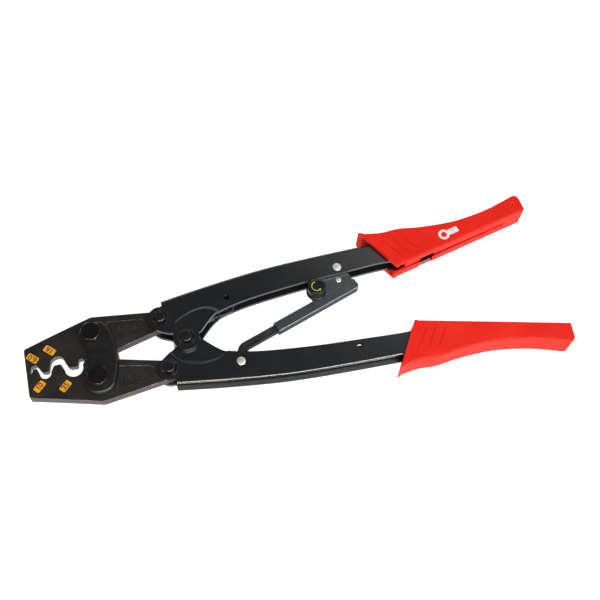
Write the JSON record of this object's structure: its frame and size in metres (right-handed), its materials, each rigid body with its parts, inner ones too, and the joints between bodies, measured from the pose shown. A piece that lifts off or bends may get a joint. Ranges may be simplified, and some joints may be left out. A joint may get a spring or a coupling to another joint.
{
  "type": "ratchet terminal crimping tool",
  "caption": "Long-handled crimping tool: forged jaws with stepped die nests, compound linkage, ratchet bar in a sheath with a release knob, and moulded grips.",
  "frame": {"origin": "bottom centre of the closed tool's bounding box, under its mid-length, on the plane that the jaw bolts' rear ends lie on", "axes": "+X along the tool from the jaws to the handles, +Y towards the upper handle, +Z out of the front, the side with the bolt heads and the knob"},
  "size_m": [0.38, 0.1264, 0.0287],
  "materials": {
    "forged_steel": "black oxide on forged steel, slightly brown, satin",
    "black_steel": "black oxide, satin",
    "black_paint": "satin black stove enamel on folded sheet",
    "bright_steel": "zinc plated",
    "red_plastic": "fine-textured orange-red moulding",
    "knob_plastic": "black moulding"
  },
  "bodies": {
    "lower_handle_body": {"lower_handle": "black_paint", "lower_grip": "red_plastic", "lower_tail_pin": "black_steel", "lower_tail_clip": "black_steel", "main_pivot_pin": "black_steel", "main_pivot_clip": "black_steel", "bar_rivet": "bright_steel"},
    "upper_handle_body": {"upper_handle": "black_paint", "upper_grip": "red_plastic", "upper_tail_pin": "black_steel", "upper_tail_clip": "black_steel", "sheath_rivet": "bright_steel"},
    "upper_jaw_body": {"upper_jaw": "forged_steel"},
    "lower_jaw_body": {"lower_jaw": "forged_steel"},
    "link_body": {"front_link_plate": "black_steel", "rear_link_plate": "black_steel", "upper_jaw_bolt": "black_steel", "lower_jaw_bolt": "black_steel", "upper_jaw_nut": "black_steel", "lower_jaw_nut": "black_steel"},
    "sheath_body": {"ratchet_sheath": "black_paint", "pawl_pin": "bright_steel", "pawl_spring": "bright_steel"},
    "bar_body": {"ratchet_bar": "black_steel"},
    "pawl_body": {"ratchet_pawl": "black_steel"},
    "knob_body": {"release_knob": "knob_plastic", "release_shaft": "bright_steel"}
  },
  "joints": [
    {"name": "handle_open", "type": "hinge", "parent": "lower_handle_body", "child": "upper_handle_body", "pos_m": [-0.0792, 0, 0.0147], "axis": [0, 0, 1], "range_deg": [0, 50]},
    {"name": "upper_jaw_swing", "type": "hinge", "parent": "upper_handle_body", "child": "upper_jaw_body", "pos_m": [-0.0945, 0.0194, 0.0147], "axis": [0, 0, 1], "range_deg": [-34.7, 0]},
    {"name": "lower_jaw_swing", "type": "hinge", "parent": "lower_handle_body", "child": "lower_jaw_body", "pos_m": [-0.0945, -0.0194, 0.0147], "axis": [0, 0, 1], "range_deg": [0, 34.7]},
    {"name": "link_swing", "type": "hinge", "parent": "lower_jaw_body", "child": "link_body", "pos_m": [-0.1426, -0.0167, 0.0147], "axis": [0, 0, 1], "range_deg": [-9.7, 0]},
    {"name": "sheath_swing", "type": "hinge", "parent": "upper_handle_body", "child": "sheath_body", "pos_m": [0.0378, 0.032, 0.0147], "axis": [0, 0, 1], "range_deg": [0, 3.8]},
    {"name": "bar_slide", "type": "slide", "parent": "sheath_body", "child": "bar_body", "axis": [-0.9455, -0.3256, 0], "range_m": [0, 0.0366]},
    {"name": "knob_turn", "type": "hinge", "parent": "sheath_body", "child": "knob_body", "pos_m": [0.01845, 0.01699, 0.0147], "axis": [0, 0, 1], "range_deg": [-90, 0], "stiffness_Nm_per_rad": 0.02},
    {"name": "pawl_lift", "type": "hinge", "parent": "sheath_body", "child": "pawl_body", "pos_m": [0.03698, 0.02337, 0.0147], "axis": [0, 0, 1], "range_deg": [-4.6, 0]}
  ],
  "couplings": [
    {"joint": "upper_jaw_swing", "follows": "handle_open", "ratio": -0.6911},
    {"joint": "lower_jaw_swing", "follows": "handle_open", "ratio": 0.6911},
    {"joint": "link_swing", "follows": "handle_open", "ratio": -0.1911},
    {"joint": "sheath_swing", "follows": "handle_open", "ratio": 0.0734},
    {"joint": "bar_slide", "follows": "handle_open", "m_per_rad": 0.041675},
    {"joint": "pawl_lift", "follows": "knob_turn", "ratio": 0.05}
  ]
}
